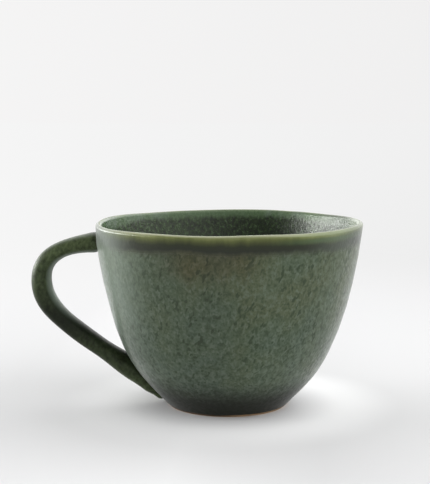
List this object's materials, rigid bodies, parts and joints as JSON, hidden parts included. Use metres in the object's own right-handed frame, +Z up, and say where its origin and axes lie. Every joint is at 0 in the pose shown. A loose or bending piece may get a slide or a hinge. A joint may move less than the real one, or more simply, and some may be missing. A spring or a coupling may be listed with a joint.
{
  "type": "teacup",
  "caption": "Round-bellied stoneware teacup on a small turned foot, with one pulled loop handle that runs from just under the lip down the wall to the foot.",
  "frame": {"origin": "on the surface the cup stands on, at the centre of its whole length and width, handle included", "axes": "+Z up; +X along the cup's length, away from the handle, which points along -X; +Y across"},
  "size_m": [0.1311, 0.105, 0.0732],
  "materials": {
    "bare_clay": "matte",
    "slip": "matte",
    "liner_glaze": "satin",
    "green_glaze": "satin"
  },
  "bodies": {
    "root": {"cup_body": "bare_clay", "handle": "bare_clay", "upper_slip": "slip", "lower_slip": "slip", "liner_glaze": "liner_glaze", "outer_glaze": "green_glaze", "handle_glaze": "green_glaze"}
  },
  "joints": []
}
